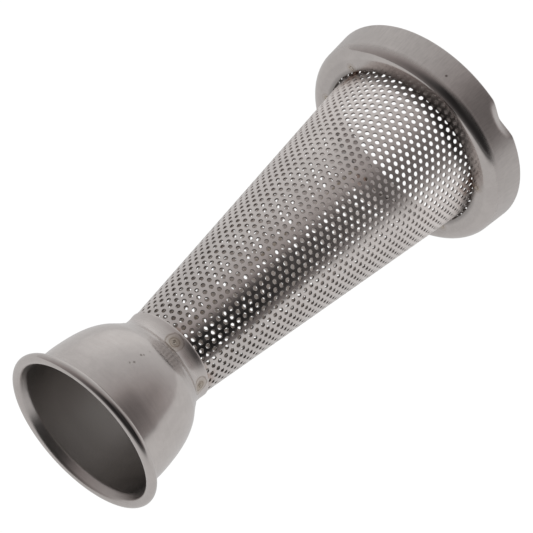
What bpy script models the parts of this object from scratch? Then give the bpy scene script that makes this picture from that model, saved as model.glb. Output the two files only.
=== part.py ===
"""Perforated conical filter element in stainless sheet: a flanged cap, a rolled
perforated cone with its seam weld, a bell mouth with a neck collar, and the
spot welds that hold the three sheets together.

Frame: metres, the filter axis lies along X with the cap towards +X and the
bell mouth opening towards -X. The origin is on the axis, halfway along the
element. The stations (x) below are measured along the axis from the open rim
of the cap, and add_object moves them to the frame's origin. Azimuths are
measured about the axis from +Z towards -Y.
"""

import math

import bmesh
import bpy
import numpy as np
from mathutils import Vector
from mathutils.geometry import delaunay_2d_cdt

MM = 0.001

# All sizes below are in millimetres, all angles in degrees.

# ---- cap ------------------------------------------------------------------
RIM_X = 0.0                    # open rim of the cap
FACE_X = -12.65                # outside of the flat clamping face
CAP_T = 0.8                    # cap sheet
CAP_BORE_R = 28.55             # opening in the clamping face
CAP_FLAT_R = 33.0              # where the flat face ends and the shoulder starts
CAP_SHOULDER_R = 3.85          # outside radius of the shoulder
SKIRT_SHOULDER_R = 36.85       # skirt outside radius at the shoulder
SKIRT_RIM_R = 37.58            # and at the rim
SKIRT_RIM_INSET = 0.3          # the skirt reaches its rim radius this far from the rim
SKIRT_STATIONS = (-6.4, -4.6, -3.1, -1.8, -0.8)
RIM_CHAMFER = 0.12             # axial length of the broken rim edges
BORE_CHAMFER = 0.15            # broken edge of the bore
NOTCH_AZ = 51.6                # pressed locating notch in the rim
NOTCH_DEPTH = 2.3
NOTCH_HALF_DEG = 10.4
NOTCH_LENGTH = 3.7
NOTCH_BLUNTING = 0.12          # rounds the tip of the dent, as a share of its reach
CAP_SEGMENTS = 80

# ---- cone -----------------------------------------------------------------
CONE_APEX_X = -250.93          # virtual apex of the outside surface
CONE_HALF_DEG = 6.68
CONE_TAN = math.tan(math.radians(CONE_HALF_DEG))
CONE_SIN = math.sin(math.radians(CONE_HALF_DEG))
CONE_COS = math.cos(math.radians(CONE_HALF_DEG))
CONE_T = 0.6
CONE_SMALL_X = -129.2          # cut edge inside the neck collar
CUT_BLEND = 1.0                # length over which that edge turns square to the axis
LIP_GAP = 0.06                 # between the cap face sheet and the turned lip
LIP_X = FACE_X + CAP_T + LIP_GAP  # -X side of the turned lip
LIP_R = 31.7                   # outside radius of the turned lip
BEND_R = 0.65                  # bend radius on the outside of the wall
CONE_BEND_X = LIP_X - BEND_R * (1.0 - CONE_SIN)  # where the wall starts to turn outwards
CONE_SEGMENTS = 60

SCREEN_PITCH = 7.1             # spacing of the punched holes
SCREEN_HOLE_D = 4.25           # hexagonal hole, corner to corner
SCREEN_HOLE_SIDES = 6
SCREEN_TURN_DEG = 1.13         # lattice direction against the generator
SCREEN_REF_AZ = 39.7           # azimuth of the reference hole
SCREEN_REF_DIST = 216.8        # its distance from the apex along the surface
SCREEN_SMALL_LIMIT_X = -121.2  # no holes beyond these two planes
SCREEN_LARGE_LIMIT_X = -13.6
SCREEN_SEAM_MARGIN = 1.6       # sheet left between a hole's corner circle and the seam line
LATTICE_REACH = 40             # lattice steps tried each way from the reference hole

# ---- seam -----------------------------------------------------------------
SEAM_AZ = 218.7                # longitudinal butt seam
SEAM_GAP = 1.2                 # slot filled by the weld bead
SEAM_CLEAR = 0.06
SEAM_CROWN = 0.22              # crown height clear of the collar
SEAM_COLLAR_CROWN = -0.04      # the bead is dished where the collar covers it
SEAM_CROWN_X = -121.6          # the crown stands up on the +X side of this station
SEAM_TOP_INSET = 0.03          # bead edges below the outside of the wall
SEAM_ROOT_INSET = 0.02         # bead root above the inside of the wall
SEAM_STATIONS = (-128.9, -124.0, -122.0, -121.4, *np.arange(-115.0, -20.0, 9.0), -13.2)

# ---- bell -----------------------------------------------------------------
BELL_T = 0.4
COLLAR_EDGE_BULGE = 0.10       # how far the middle of the collar's free edge stands out
# (x, radius) on the outside, from the collar's free edge to the start of the curl
BELL_OUTSIDE = (
    (-121.80, 15.59), (-124.00, 15.36), (-126.20, 15.50), (-127.20, 15.78),
    (-127.90, 16.25), (-128.60, 16.78), (-129.60, 17.40), (-131.20, 18.55),
    (-133.20, 19.95), (-135.60, 21.15), (-138.20, 22.10), (-141.40, 22.90),
    (-145.00, 23.50), (-149.00, 23.95), (-151.60, 24.06), (-154.40, 24.11),
    (-156.05, 24.13), (-156.45, 24.17), (-156.80, 24.275), (-157.60, 24.60),
)
CURL_X = -158.12               # centre of the mouth's rolled edge
CURL_R = 26.07
CURL_TUBE_R = 1.57             # outside radius of the roll
# the sheet turns through these angles about the curl centre, from +X
CURL_DEG = (-112, -146, -180, -215, -250, -285, -320, -355, -385, -415)
BELL_SEGMENTS = 60

# ---- spot welds -----------------------------------------------------------
NECK_WELD_X = -125.25
NECK_WELD_AZ = tuple(22.4 + 60.9 * k for k in range(5))
NECK_WELD_R = 0.9
NECK_WELD_TOP_R = 15.44        # distance from the axis where the crown starts
CAP_WELD_R_POS = 30.1          # distance of the cap welds from the axis
CAP_WELD_AZ = (84.9, 142.7, 208.7, 274.2, 316.9)
CAP_WELD_R = 0.85
WELD_CLEAR = 0.05              # pin holes are this much larger in radius
WELD_INSET = 0.03              # weld root short of the far side of the cone sheet
WELD_CROWN = 0.14
WELD_SHOULDER = 0.02           # the crown starts this far below the full length
WELD_SIDES = 10
NECK_CUT_START = 2.0           # neck cutters start this far inside the wall's outside
NECK_CUT_LENGTH = 5.0
CAP_CUT_START = 0.02           # cap cutters start in the gap, this far off the lip
CAP_CUT_LENGTH = 2.0

ORIGIN_X = (RIM_X + CURL_X - CURL_TUBE_R) / 2  # station of the frame's origin
AXIS = np.array([1.0, 0.0, 0.0])

STEEL = (0.56, 0.55, 0.53)
STEEL_SATIN = (0.50, 0.49, 0.475)
WELD_TINT = (0.42, 0.36, 0.28)


# ---- shared helpers -------------------------------------------------------
def clear_scene():
    for obj in list(bpy.data.objects):
        bpy.data.objects.remove(obj, do_unlink=True)


def metal(name, colour, roughness):
    mat = bpy.data.materials.new(name)
    mat.use_nodes = True
    shader = mat.node_tree.nodes["Principled BSDF"]
    shader.inputs["Base Color"].default_value = (*colour, 1.0)
    shader.inputs["Metallic"].default_value = 1.0
    shader.inputs["Roughness"].default_value = roughness
    return mat


def radial(azimuth):
    """Unit vector square to the axis at this azimuth."""
    angle = math.radians(azimuth)
    return np.array([0.0, -math.sin(angle), math.cos(angle)])


def place(x, radius, azimuth):
    return x * AXIS + radius * radial(azimuth)


def add_object(name, verts, faces, mat, smooth=True):
    """A mesh object from millimetre vertices, with its normals facing out."""
    mesh = bpy.data.meshes.new(name)
    origin = ORIGIN_X * AXIS
    mesh.from_pydata([tuple((vert - origin) * MM) for vert in verts], [], faces)
    mesh.validate()
    work = bmesh.new()
    work.from_mesh(mesh)
    bmesh.ops.recalc_face_normals(work, faces=work.faces)
    if work.calc_volume(signed=True) < 0:
        bmesh.ops.reverse_faces(work, faces=work.faces)
    work.to_mesh(mesh)
    work.free()
    mesh.polygons.foreach_set("use_smooth", [smooth] * len(mesh.polygons))
    mesh.materials.append(mat)
    obj = bpy.data.objects.new(name, mesh)
    bpy.context.scene.collection.objects.link(obj)
    return obj


def arc(centre_x, centre_r, radius, angles):
    """Points on an arc in the (x, radius) plane, angles from +x towards +radius."""
    return [
        (centre_x + radius * math.cos(math.radians(a)),
         centre_r + radius * math.sin(math.radians(a)))
        for a in angles
    ]


def revolve(loop, segments, reshape=None):
    """A closed (x, radius) loop turned about the axis, as vertices and quads."""
    verts, faces = [], []
    count = len(loop)
    for i in range(segments):
        azimuth = 360.0 * i / segments
        for x, radius in loop:
            if reshape:
                radius = reshape(x, radius, azimuth)
            verts.append(place(x, radius, azimuth))
    for i in range(segments):
        j = (i + 1) % segments
        for k in range(count):
            q = (k + 1) % count
            faces.append((i * count + k, i * count + q, j * count + q, j * count + k))
    return verts, faces


def prism_faces(rings, sides):
    """Side quads and two end faces for a stack of rings."""
    faces = []
    for i in range(rings - 1):
        low, high = i * sides, (i + 1) * sides
        for k in range(sides):
            q = (k + 1) % sides
            faces.append((low + k, low + q, high + q, high + k))
    last = (rings - 1) * sides
    faces.append(tuple(range(sides)))
    faces.append(tuple(last + k for k in reversed(range(sides))))
    return faces


# ---- cap ------------------------------------------------------------------
def notch(x, radius, azimuth):
    """The rim pushed inwards at the locating notch: a short pointed dent with a clear edge."""
    turn = (azimuth - NOTCH_AZ + 180.0) % 360.0 - 180.0
    reach = math.hypot(turn / NOTCH_HALF_DEG, (RIM_X - x) / NOTCH_LENGTH)
    if reach >= 1.0:
        return radius
    share = (1.0 - math.hypot(reach, NOTCH_BLUNTING)) / (1.0 - NOTCH_BLUNTING)
    return radius - NOTCH_DEPTH * share


def build_cap(mat):
    shoulder_x = FACE_X + CAP_SHOULDER_R
    skirt_length = RIM_X - SKIRT_RIM_INSET - shoulder_x
    skirt = [
        (x, SKIRT_SHOULDER_R + (SKIRT_RIM_R - SKIRT_SHOULDER_R) * (x - shoulder_x) / skirt_length)
        for x in SKIRT_STATIONS
    ]
    shoulder_out = arc(shoulder_x, CAP_FLAT_R, CAP_SHOULDER_R, np.linspace(180, 90, 7))
    shoulder_in = arc(shoulder_x, CAP_FLAT_R, CAP_SHOULDER_R - CAP_T, np.linspace(90, 180, 6))
    outer = [
        (FACE_X, CAP_BORE_R + BORE_CHAMFER),
        *shoulder_out,
        *skirt,
        (RIM_X - RIM_CHAMFER, SKIRT_RIM_R - 0.02),
        (RIM_X, SKIRT_RIM_R - 0.16),
    ]
    inner = [
        (RIM_X, SKIRT_RIM_R - CAP_T + 0.14),
        (RIM_X - RIM_CHAMFER, SKIRT_RIM_R - CAP_T),
        *[(x, radius - CAP_T) for x, radius in reversed(skirt)],
        *shoulder_in,
        (FACE_X + CAP_T, CAP_BORE_R),
        (FACE_X + BORE_CHAMFER, CAP_BORE_R),
    ]
    verts, faces = revolve(outer + inner, CAP_SEGMENTS, notch)
    return add_object("flange_cap", verts, faces, mat)


# ---- bell -----------------------------------------------------------------
def offset_inwards(profile, thickness):
    """An open profile that runs towards -X, moved towards the axis square to itself."""
    points = np.array(profile, float)
    along = np.gradient(points, axis=0)
    along /= np.linalg.norm(along, axis=1)[:, None]
    return points + np.c_[-along[:, 1], along[:, 0]] * thickness


def build_bell(mat):
    """The drawn bell. At the mouth the sheet rolls outwards into a bead whose free
    edge stops short of the wall."""
    outside = list(BELL_OUTSIDE)
    roll_in = arc(CURL_X, CURL_R, CURL_TUBE_R - BELL_T, CURL_DEG)
    roll_out = arc(CURL_X, CURL_R, CURL_TUBE_R, CURL_DEG)
    # the outside runs into the inner face of the roll, whose first point steers the offset
    inside = [tuple(p) for p in offset_inwards(outside + roll_in[:1], BELL_T)][:-1]
    edge_x, edge_r = outside[0]
    collar_edge = [(edge_x + COLLAR_EDGE_BULGE, edge_r - BELL_T / 2)]
    loop = outside + roll_in + roll_out[::-1] + inside[::-1] + collar_edge
    verts, faces = revolve(loop, BELL_SEGMENTS)
    return add_object("bell_mouth", verts, faces, mat)


# ---- cone surface ---------------------------------------------------------
# "dist" is the developed distance from the apex, down the wall and out along the lip.
def cone_r(x):
    return (x - CONE_APEX_X) * CONE_TAN


def slant(x):
    return (x - CONE_APEX_X) / CONE_COS


def bend_profile():
    """Rows (dist, outside x, radius, inside x, radius) from the bend to the lip's edge."""
    bend_dist = slant(CONE_BEND_X)
    bend_start_r = cone_r(CONE_BEND_X)
    turn = 90.0 - CONE_HALF_DEG
    # bend centre, on the outer side of the wall
    centre_x = CONE_BEND_X - BEND_R * CONE_SIN
    centre_r = bend_start_r + BEND_R * CONE_COS
    rows = [(bend_dist, CONE_BEND_X, bend_start_r,
             CONE_BEND_X + CONE_T * CONE_SIN, bend_start_r - CONE_T * CONE_COS)]
    for angle in (turn / 3, 2 * turn / 3, turn):
        (outside,) = arc(centre_x, centre_r, BEND_R, [angle - turn])
        (inside,) = arc(centre_x, centre_r, BEND_R + CONE_T, [angle - turn])
        dist = bend_dist + (BEND_R + CONE_T / 2) * math.radians(angle)
        rows.append((dist, *outside, *inside))
    rows.append((dist + (LIP_R - centre_r), LIP_X, LIP_R, LIP_X + CONE_T, LIP_R))
    return rows


PROFILE = bend_profile()
BEND_DISTS = [row[0] for row in PROFILE[:4]]
DIST_SMALL = slant(CONE_SMALL_X)
DIST_BEND = PROFILE[0][0]
DIST_LIP, _, LIP_START_R = PROFILE[3][:3]
DIST_END = PROFILE[-1][0]


def bend_row(dist):
    """PROFILE interpolated at a distance between the bend's start and the lip's edge."""
    for row, after in zip(PROFILE, PROFILE[1:]):
        if dist <= after[0] + 1e-9:
            k = (dist - row[0]) / (after[0] - row[0])
            return [a + (b - a) * k for a, b in zip(row, after)]


def sheet_radius(dist):
    return dist * CONE_SIN if dist <= DIST_BEND else bend_row(dist)[2]


def wall_point(dist, azimuth, inner):
    """A point on the outside or inside surface."""
    if dist > DIST_BEND:
        row = bend_row(dist)
        x, radius = row[3:] if inner else row[1:3]
        return place(x, radius, azimuth)
    x, radius = CONE_APEX_X + dist * CONE_COS, dist * CONE_SIN
    if inner:
        x, radius = x + CONE_T * CONE_SIN, radius - CONE_T * CONE_COS
        # the cut edge at the small end stays square to the axis
        if dist - DIST_SMALL < CUT_BLEND:
            x = CONE_SMALL_X + (x - CONE_SMALL_X) * (dist - DIST_SMALL) / CUT_BLEND
    return place(x, radius, azimuth)


def to_sheet(dist, azimuth):
    """Flat coordinates on the developed sheet, with the seam opposite the zero direction."""
    angle = math.radians(((azimuth - SEAM_AZ) % 360.0 - 180.0) * CONE_SIN)
    return dist * math.cos(angle), dist * math.sin(angle)


def from_sheet(point):
    """Distance and azimuth of a point on the developed sheet."""
    azimuth = math.degrees(math.atan2(point[1], point[0])) / CONE_SIN + 180.0 + SEAM_AZ
    return math.hypot(*point), azimuth


# ---- perforated cone ------------------------------------------------------
def screen_holes():
    """Centres of the punched holes on the developed sheet, a 60 degree lattice, and
    the lattice direction."""
    ref = to_sheet(SCREEN_REF_DIST, SCREEN_REF_AZ)
    phase = math.atan2(ref[1], ref[0]) + math.radians(SCREEN_TURN_DEG)
    row_dir = (math.cos(phase), math.sin(phase))
    column_dir = (math.cos(phase - math.pi / 3), math.sin(phase - math.pi / 3))
    half = SCREEN_HOLE_D / 2
    nearest = slant(SCREEN_SMALL_LIMIT_X) + half
    farthest = slant(SCREEN_LARGE_LIMIT_X) - half
    steps = range(-LATTICE_REACH, LATTICE_REACH + 1)
    centres = []
    for i in steps:
        for j in steps:
            centre = tuple(
                ref[k] + SCREEN_PITCH * (i * row_dir[k] + j * column_dir[k]) for k in (0, 1)
            )
            dist, azimuth = from_sheet(centre)
            # length of arc left before the seam, negative off the sheet
            seam_angle = math.radians(180.0 - abs(azimuth - SEAM_AZ - 180.0))
            seam_arc = seam_angle * dist * CONE_SIN
            if nearest < dist < farthest and seam_arc >= half + SCREEN_SEAM_MARGIN:
                centres.append(centre)
    return sorted(centres), phase


def ring(radius, centre, sides, phase):
    angles = [phase + 2 * math.pi * k / sides for k in range(sides)]
    return [(centre[0] + radius * math.cos(a), centre[1] + radius * math.sin(a)) for a in angles]


def cap_pin_loop(azimuth):
    """Pin hole through the lip, stretched on the sheet so that it is round on the lip."""
    loop = []
    for k in range(WELD_SIDES):
        angle = 2 * math.pi * k / WELD_SIDES
        outward = CAP_WELD_R_POS + (CAP_WELD_R + WELD_CLEAR) * math.cos(angle)
        side = (CAP_WELD_R + WELD_CLEAR) * math.sin(angle)
        dist = DIST_LIP + (math.hypot(outward, side) - LIP_START_R)
        loop.append(to_sheet(dist, azimuth + math.degrees(math.atan2(side, outward))))
    return loop


def hole_loops():
    """Every hole of the sheet: the screen, the neck weld pins and the cap weld pins."""
    centres, phase = screen_holes()
    loops = [ring(SCREEN_HOLE_D / 2, c, SCREEN_HOLE_SIDES, phase) for c in centres]
    for azimuth in NECK_WELD_AZ:
        centre = to_sheet(slant(NECK_WELD_X), azimuth)
        phase = math.atan2(centre[1], centre[0])
        loops.append(ring(NECK_WELD_R + WELD_CLEAR, centre, WELD_SIDES, phase))
    loops += [cap_pin_loop(azimuth) for azimuth in CAP_WELD_AZ]
    return loops


def sheet_row(dist):
    """Sheet points from one seam edge to the other at this distance."""
    cut = math.degrees(math.asin(SEAM_GAP / 2 / sheet_radius(dist)))
    between = [SEAM_AZ + 360.0 * k / CONE_SEGMENTS for k in range(1, CONE_SEGMENTS)]
    azimuths = [SEAM_AZ + cut, *between, SEAM_AZ + 360.0 - cut]
    return [to_sheet(dist, azimuth) for azimuth in azimuths]


def sheet_outline():
    dists = [DIST_SMALL + CUT_BLEND]
    dists += [slant(x) for x in (-127.0, -123.4, SCREEN_SMALL_LIMIT_X)]
    dists += [slant(x) for x in np.arange(-116.0, -18.0, 7.0)]
    dists += [slant(SCREEN_LARGE_LIMIT_X), *BEND_DISTS]
    dists += [DIST_LIP + (CAP_WELD_R_POS - LIP_START_R)]
    rows = [sheet_row(dist) for dist in dists]
    left = [row[0] for row in rows]
    right = [row[-1] for row in rows]
    return sheet_row(DIST_SMALL) + right + sheet_row(DIST_END)[::-1] + left[::-1]


def inside_loop(point, loop):
    """Even-odd test of a point against a closed loop."""
    inside = False
    for (x1, y1), (x2, y2) in zip(loop, loop[1:] + loop[:1]):
        if (y1 > point[1]) != (y2 > point[1]):
            if point[0] < (x2 - x1) * (point[1] - y1) / (y2 - y1) + x1:
                inside = not inside
    return inside


def triangulate_sheet():
    """Points and triangles of the developed sheet, holes left open."""
    outline = sheet_outline()
    loops = hole_loops()
    # rings that keep the sheet round where other pieces sit close to it
    ring_dists = [DIST_SMALL + CUT_BLEND]
    ring_dists += [slant(x) for x in (-127.6, -122.7, SCREEN_SMALL_LIMIT_X, SCREEN_LARGE_LIMIT_X)]
    ring_dists += BEND_DISTS
    points, edges = [], []

    def add_chain(chain, closed=True):
        first, count = len(points), len(chain)
        points.extend(chain)
        links = count if closed else count - 1
        edges.extend((first + k, first + (k + 1) % count) for k in range(links))

    for loop in [outline, *loops]:
        add_chain(loop)
    for dist in ring_dists:
        add_chain(sheet_row(dist)[1:-1], closed=False)

    # output type 0 fills the convex hull; 1e-7 is the merging tolerance
    flat, _, triangles = delaunay_2d_cdt([Vector(p) for p in points], edges, [], 0, 1e-7)[:3]
    flat = [(v.x, v.y) for v in flat]
    centres = np.array([np.mean(loop, axis=0) for loop in loops])
    keep = []
    for triangle in triangles:
        middle = np.mean([flat[i] for i in triangle], axis=0)
        if not inside_loop(middle, outline):
            continue
        # only holes this close can contain the triangle
        near = np.nonzero(np.hypot(*(centres - middle).T) < SCREEN_HOLE_D * 0.6)[0]
        if not any(inside_loop(middle, loops[k]) for k in near):
            keep.append(triangle)
    used = sorted({i for triangle in keep for i in triangle})
    index = {old: new for new, old in enumerate(used)}
    return [flat[i] for i in used], [tuple(index[i] for i in triangle) for triangle in keep]


def build_screen(mat):
    """The sheet rolled up: outside and inside skins, joined along every free edge."""
    flat, triangles = triangulate_sheet()
    count = len(flat)
    verts = []
    for inner in (False, True):
        for point in flat:
            dist, azimuth = from_sheet(point)
            verts.append(wall_point(min(max(dist, DIST_SMALL), DIST_END), azimuth, inner))
    faces = triangles + [(c + count, b + count, a + count) for a, b, c in triangles]
    directed = [edge for a, b, c in triangles for edge in ((a, b), (b, c), (c, a))]
    known = set(directed)
    faces += [(b, a, a + count, b + count) for a, b in directed if (b, a) not in known]
    add_object("screen_cone", verts, faces, mat, smooth=False)


# ---- seam weld ------------------------------------------------------------
def build_seam(mat):
    """A bead that fills the butt seam along the wall, slightly crowned outside."""
    half = SEAM_GAP / 2 - SEAM_CLEAR
    outward = radial(SEAM_AZ)
    sideways = radial(SEAM_AZ + 90.0)
    verts = []
    for x in SEAM_STATIONS:
        root = cone_r(x) - CONE_T / CONE_COS + SEAM_ROOT_INSET
        edge = cone_r(x) - SEAM_TOP_INSET
        crest = edge + (SEAM_CROWN if x > SEAM_CROWN_X else SEAM_COLLAR_CROWN)
        # (share of the half width, distance from the axis)
        section = ((-1.0, root), (-1.0, edge), (-0.5, crest), (0.5, crest), (1.0, edge), (1.0, root))
        for share, radius in section:
            verts.append(x * AXIS + outward * radius + sideways * (share * half))
    faces = prism_faces(len(SEAM_STATIONS), len(section))
    add_object("screen_seam_weld", verts, faces, mat)


# ---- spot welds -----------------------------------------------------------
def pin(base, direction, side, rings):
    """A round pin through (height, radius) rings; side is a direction square to it."""
    other = np.cross(direction, side)
    verts = []
    for height, radius in rings:
        for i in range(WELD_SIDES):
            angle = 2 * math.pi * i / WELD_SIDES
            around = math.cos(angle) * side + math.sin(angle) * other
            verts.append(base + direction * height + radius * around)
    return verts, prism_faces(len(rings), WELD_SIDES)


def add_nugget(name, base, direction, side, radius, length, mat):
    """A weld pin with a crowned outer end."""
    rings = [
        (0.0, radius),
        (length - WELD_SHOULDER, radius),
        (length + WELD_CROWN * 0.7, radius * 0.72),
        (length + WELD_CROWN, radius * 0.34),
    ]
    add_object(name, *pin(base, direction, side, rings), mat)


def cutter(base, direction, side, weld_radius, length):
    radius = weld_radius + WELD_CLEAR
    return pin(base, direction, side, [(0.0, radius), (length, radius)])


def cut_pins(target, pins, name):
    """One Boolean that takes every pin hole out of the target."""
    verts, faces = [], []
    for pin_verts, pin_faces in pins:
        first = len(verts)
        verts += pin_verts
        faces += [tuple(i + first for i in face) for face in pin_faces]
    tool = add_object(name, verts, faces, target.data.materials[0], smooth=False)
    tool.hide_render = True
    tool.display_type = "WIRE"
    mod = target.modifiers.new("pin_holes", "BOOLEAN")
    mod.operation = "DIFFERENCE"
    mod.solver = "EXACT"
    mod.object = tool


def build_neck_welds(bell, mat):
    """Radial welds that join the cone's small end to the bell's collar."""
    wall_r = cone_r(NECK_WELD_X)
    root_r = wall_r - CONE_T / CONE_COS + WELD_INSET
    pins = []
    for number, azimuth in enumerate(NECK_WELD_AZ, 1):
        outward = radial(azimuth)
        add_nugget(f"neck_spot_weld_{number}", place(NECK_WELD_X, root_r, azimuth), outward,
                   AXIS, NECK_WELD_R, NECK_WELD_TOP_R - root_r, mat)
        start = place(NECK_WELD_X, wall_r - NECK_CUT_START, azimuth)
        pins.append(cutter(start, outward, AXIS, NECK_WELD_R, NECK_CUT_LENGTH))
    cut_pins(bell, pins, "collar_pin_cutter")


def build_cap_welds(cap, mat):
    """Axial welds that join the cone's lip to the cap face, crowned towards -X."""
    root_x = LIP_X + CONE_T - WELD_INSET
    pins = []
    for number, azimuth in enumerate(CAP_WELD_AZ, 1):
        outward = radial(azimuth)
        add_nugget(f"cap_spot_weld_{number}", place(root_x, CAP_WELD_R_POS, azimuth), -AXIS,
                   outward, CAP_WELD_R, root_x - FACE_X, mat)
        start = place(LIP_X - CAP_CUT_START, CAP_WELD_R_POS, azimuth)
        pins.append(cutter(start, -AXIS, outward, CAP_WELD_R, CAP_CUT_LENGTH))
    cut_pins(cap, pins, "cap_pin_cutter")


def main():
    clear_scene()
    brushed = metal("cap_brushed_steel", STEEL, roughness=0.32)
    perforated = metal("screen_sheet_steel", STEEL_SATIN, roughness=0.30)
    polished = metal("bell_polished_steel", STEEL, roughness=0.22)
    tinted = metal("weld_heat_tint", WELD_TINT, roughness=0.45)

    cap = build_cap(brushed)
    build_screen(perforated)
    build_seam(tinted)
    bell = build_bell(polished)
    build_neck_welds(bell, tinted)
    build_cap_welds(cap, tinted)


main()
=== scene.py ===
"""Looks for the perforated conical filter element.

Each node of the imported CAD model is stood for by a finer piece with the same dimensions:
the flanged cap, the perforated cone with every hole, the bell mouth with its neck collar,
the longitudinal seam bead and the spot welds.

Frame: metres, the filter axis lies along X with the cap towards +X and the bell mouth
opening towards -X; the origin is on the axis, halfway along the element. Shapes are worked
out in millimetres, at stations measured along the axis from the open rim of the cap.
Azimuths (AZ) are in degrees about the axis, from +Z towards -Y.
"""

import math

import bpy
import numpy as np
from mathutils import Matrix, Vector
from mathutils.geometry import delaunay_2d_cdt


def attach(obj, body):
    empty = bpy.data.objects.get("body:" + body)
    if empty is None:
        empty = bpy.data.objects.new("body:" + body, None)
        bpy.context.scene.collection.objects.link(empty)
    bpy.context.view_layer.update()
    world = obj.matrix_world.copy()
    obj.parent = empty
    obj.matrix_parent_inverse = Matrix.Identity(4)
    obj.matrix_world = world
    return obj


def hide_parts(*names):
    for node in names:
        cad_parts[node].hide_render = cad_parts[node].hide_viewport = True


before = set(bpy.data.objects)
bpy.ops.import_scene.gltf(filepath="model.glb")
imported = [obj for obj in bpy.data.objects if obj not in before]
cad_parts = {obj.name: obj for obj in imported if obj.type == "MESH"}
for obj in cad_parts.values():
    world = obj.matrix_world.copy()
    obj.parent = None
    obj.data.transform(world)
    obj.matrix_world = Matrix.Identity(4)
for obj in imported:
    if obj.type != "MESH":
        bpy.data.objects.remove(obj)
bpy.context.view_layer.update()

MM = 0.001

# ---- dimensions, millimetres -----------------------------------------------
RIM_X = 0.0
FACE_X = -12.65
CAP_T = 0.8
CAP_BORE_R = 28.55
CAP_FLAT_R = 33.0
CAP_SHOULDER_R = 3.85
CAP_SHOULDER_X = FACE_X + CAP_SHOULDER_R
CAP_SKIRT_FOOT_R = CAP_FLAT_R + CAP_SHOULDER_R
CAP_SKIRT_RIM_R = 37.58
CAP_SEGMENTS = 288
NOTCH_AZ = 51.6
NOTCH_DEPTH = 2.3
NOTCH_HALF_DEG = 10.4
NOTCH_LENGTH = 3.7

CONE_APEX_X = -250.93
CONE_HALF = math.radians(6.68)
CONE_T = 0.6
CONE_SMALL_X = -129.2
LIP_FRONT_X = FACE_X + CAP_T + 0.06
LIP_R = 31.7
BEND_R = 0.65
SEAM_AZ = 218.7

HOLE_PITCH = 2.5
HOLE_R = 0.75
HOLE_ROLL = 0.08  # rolled-over edge on the cone's outside
HOLE_RIM_R = HOLE_R + HOLE_ROLL
HOLE_SIDES = 11
HOLE_END_MARGIN = 0.35
HOLE_SEAM_MARGIN = 0.62
HOLE_WELD_MARGIN = 0.12
LATTICE_TURN = math.radians(1.13)
LATTICE_AZ = 39.7
LATTICE_SLANT = 216.8

BELL_T = 0.4
BELL_SEGMENTS = 264
BELL_STEP = 0.42
# outside of collar and dome: station, radius
BELL_OUTSIDE = (
    (-121.80, 15.59), (-124.00, 15.36), (-126.20, 15.50), (-127.20, 15.78),
    (-127.90, 16.25), (-128.60, 16.78), (-129.60, 17.40), (-131.20, 18.55),
    (-133.20, 19.95), (-135.60, 21.15), (-138.20, 22.10), (-141.40, 22.90),
    (-145.00, 23.50), (-149.00, 23.95), (-151.60, 24.06), (-154.40, 24.11),
    (-156.05, 24.13), (-156.45, 24.17), (-156.80, 24.275), (-157.60, 24.60),
)
# rolled edge of the mouth: centre, outer radius, and the angles the sheet turns between
CURL_X, CURL_R = -158.12, 26.07
CURL_TUBE_R = 1.57
CURL_FROM, CURL_TO = -112.0, -415.0
CURL_POINTS = 34

NECK_WELD_X = -125.25
NECK_WELD_TOP_R = 15.44
NECK_WELD_AZ = tuple(22.4 + 60.9 * k for k in range(5))
NECK_WELD_R = 0.9
CAP_WELD_R_POS = 30.1
CAP_WELD_AZ = (84.9, 142.7, 208.7, 274.2, 316.9)
CAP_WELD_R = 0.85
NUGGET_SIDES = 36

ORIGIN_X = (RIM_X + CURL_X - CURL_TUBE_R) / 2

SIN, COS, TAN = math.sin(CONE_HALF), math.cos(CONE_HALF), math.tan(CONE_HALF)


# ---- geometry helpers ------------------------------------------------------
def radial(azimuth):
    """Unit vectors square to the axis at these azimuths."""
    turn = np.radians(np.asarray(azimuth, float))
    return np.stack([np.zeros_like(turn), -np.sin(turn), np.cos(turn)], -1)


def place(x, radius, azimuth):
    points = np.asarray(radius, float)[..., None] * radial(azimuth)
    points[..., 0] += x
    return points


def to_metres(point):
    return tuple(float(v) * MM for v in np.asarray(point) - (ORIGIN_X, 0.0, 0.0))


def arc(centre_x, centre_r, radius, start_deg, end_deg, count):
    angles = np.radians(np.linspace(start_deg, end_deg, count))
    return [(centre_x + radius * math.cos(a), centre_r + radius * math.sin(a)) for a in angles]


def between(start, end, count):
    """Evenly spaced points from start towards end, both left out."""
    return [
        (
            start[0] + (end[0] - start[0]) * k / (count + 1),
            start[1] + (end[1] - start[1]) * k / (count + 1),
        )
        for k in range(1, count + 1)
    ]


def link_object(name, mesh):
    obj = bpy.data.objects.new(name, mesh)
    bpy.context.scene.collection.objects.link(obj)
    return obj


def new_object(name, verts_mm, faces, mat, corner_normals=None, sharp_deg=None):
    """A smooth-shaded object, with given corner normals or else sharp edges by angle."""
    mesh = bpy.data.meshes.new(name)
    verts = (np.asarray(verts_mm, float) - (ORIGIN_X, 0.0, 0.0)) * MM
    mesh.from_pydata(verts.tolist(), [], faces)
    mesh.update()
    mesh.shade_smooth()
    if corner_normals is not None:
        mesh.normals_split_custom_set(np.asarray(corner_normals, np.float32))
    else:
        mesh.set_sharp_from_angle(angle=math.radians(sharp_deg))
    mesh.materials.append(mat)
    return link_object(name, mesh)


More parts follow.
